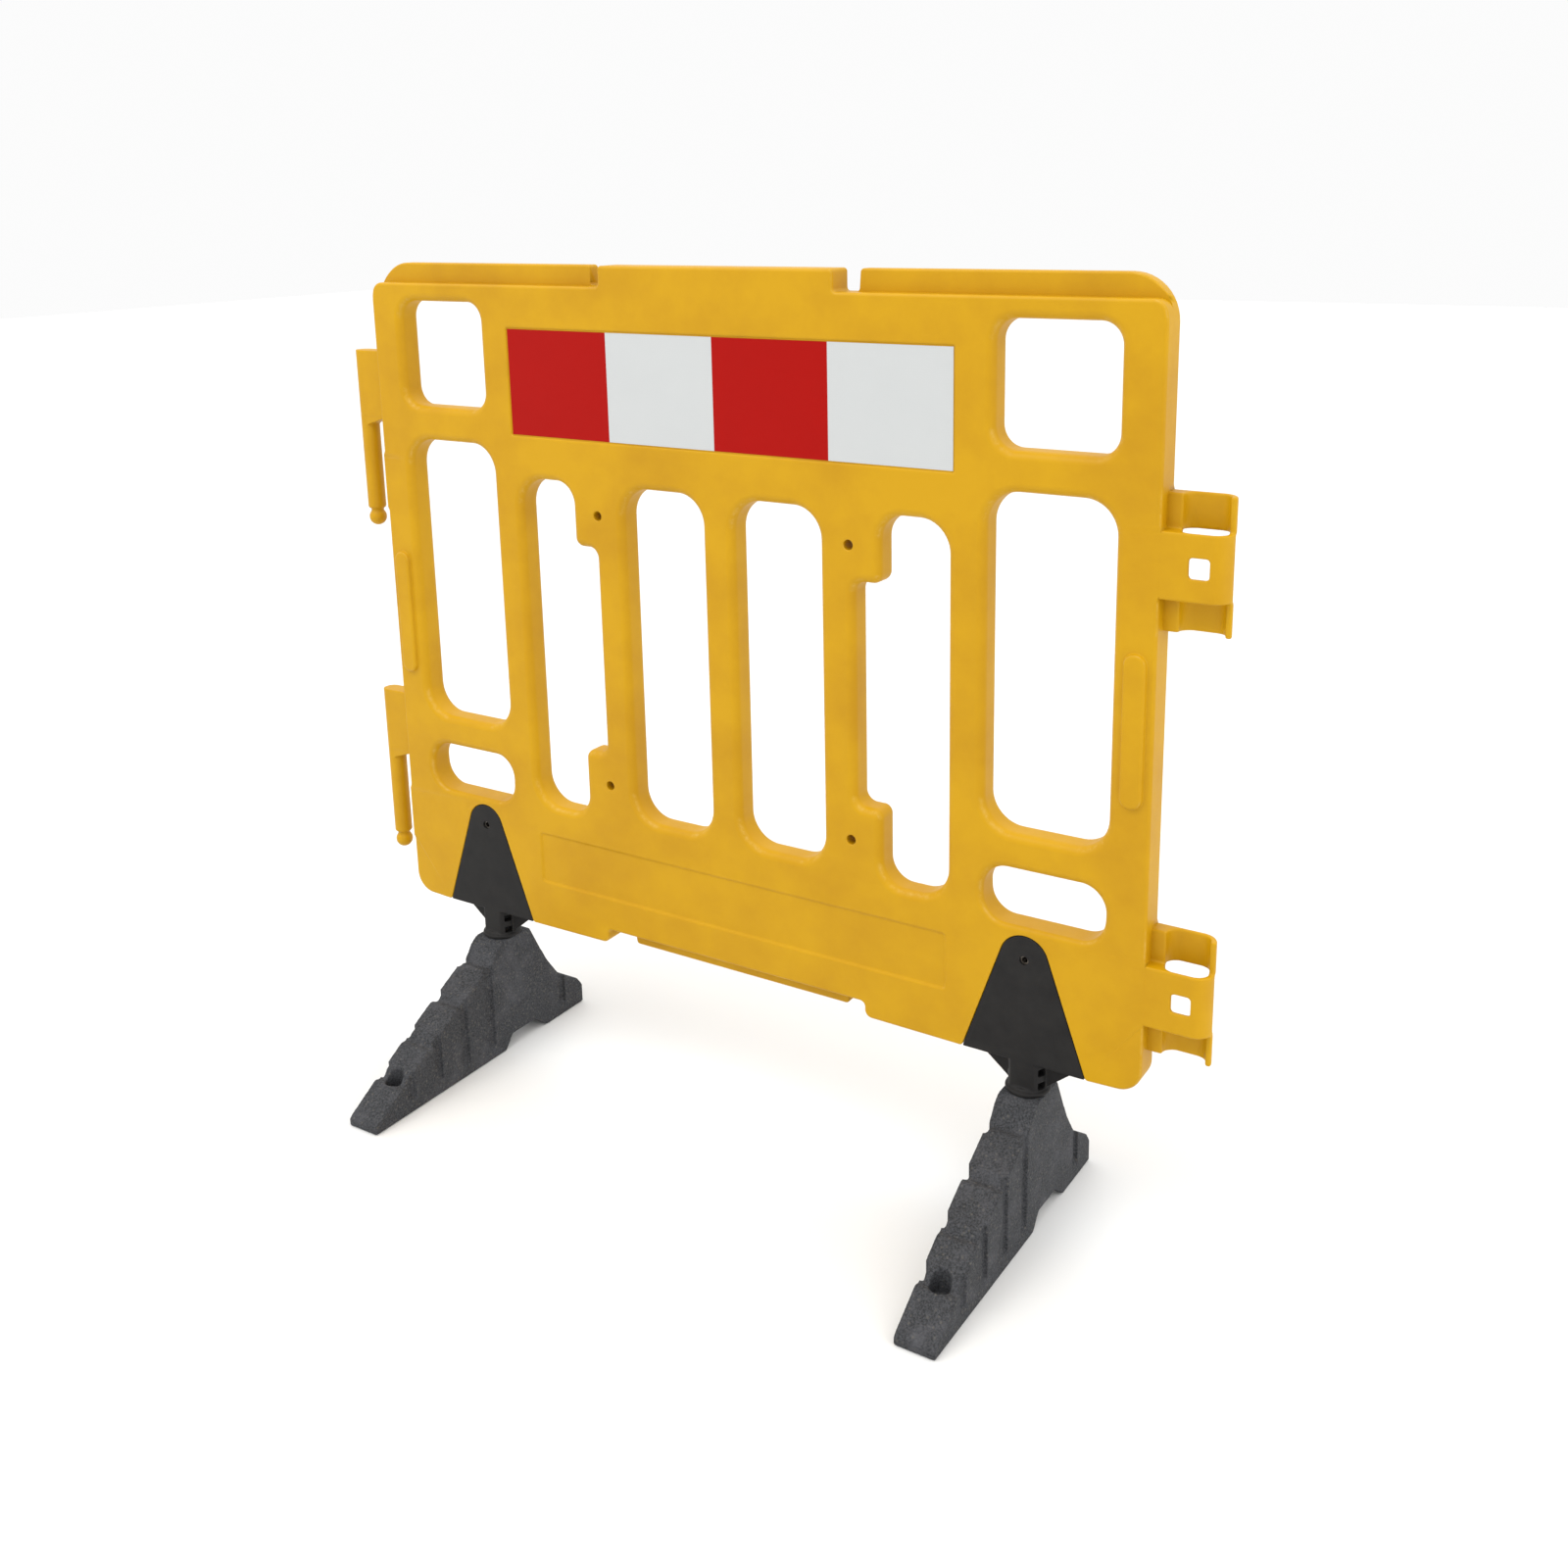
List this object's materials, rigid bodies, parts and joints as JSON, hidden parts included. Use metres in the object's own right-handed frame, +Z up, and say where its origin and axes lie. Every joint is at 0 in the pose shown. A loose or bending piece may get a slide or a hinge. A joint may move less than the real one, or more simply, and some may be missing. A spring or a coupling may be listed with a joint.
{
  "type": "pedestrian barrier",
  "caption": "One-metre moulded plastic pedestrian barrier with a reflective strip, link pins and sockets at its ends, and two long feet that swivel under black brackets.",
  "frame": {"origin": "on the floor, in the middle of the whole object's footprint", "axes": "+X along the panel from its link pins to its link sockets, +Z up, the front with the long toes faces -Y"},
  "size_m": [1.1134, 0.379, 1],
  "materials": {
    "panel_yellow": "moulded polyethylene, satin",
    "film_red": "retroreflective film, smooth",
    "film_white": "retroreflective film, smooth",
    "bracket_black": "moulded nylon, fine texture",
    "foot_grey": "moulded recycled rubber and PVC, speckled",
    "zinc_steel": "zinc plated"
  },
  "bodies": {
    "barrier": {"panel": "panel_yellow", "front_film_red_left": "film_red", "front_film_white_left": "film_white", "front_film_red_right": "film_red", "front_film_white_right": "film_white", "back_film_red_left": "film_red", "back_film_white_left": "film_white", "back_film_red_right": "film_red", "back_film_white_right": "film_white", "bracket_left": "bracket_black", "bracket_right": "bracket_black", "cross_pins": "zinc_steel"},
    "left_foot": {"foot_left": "foot_grey", "swivel_bolt_left": "zinc_steel", "swivel_nut_left": "zinc_steel", "swivel_washer_left": "zinc_steel"},
    "right_foot": {"foot_right": "foot_grey", "swivel_bolt_right": "zinc_steel", "swivel_nut_right": "zinc_steel", "swivel_washer_right": "zinc_steel"}
  },
  "joints": [
    {"name": "left_foot_swivel", "type": "hinge", "parent": "barrier", "child": "left_foot", "pos_m": [-0.37875, 0.0665, 0.16], "axis": [0, 0, 1], "range_deg": [-90, 90]},
    {"name": "right_foot_swivel", "type": "hinge", "parent": "barrier", "child": "right_foot", "pos_m": [0.36225, 0.0665, 0.16], "axis": [0, 0, 1], "range_deg": [-90, 90]}
  ]
}
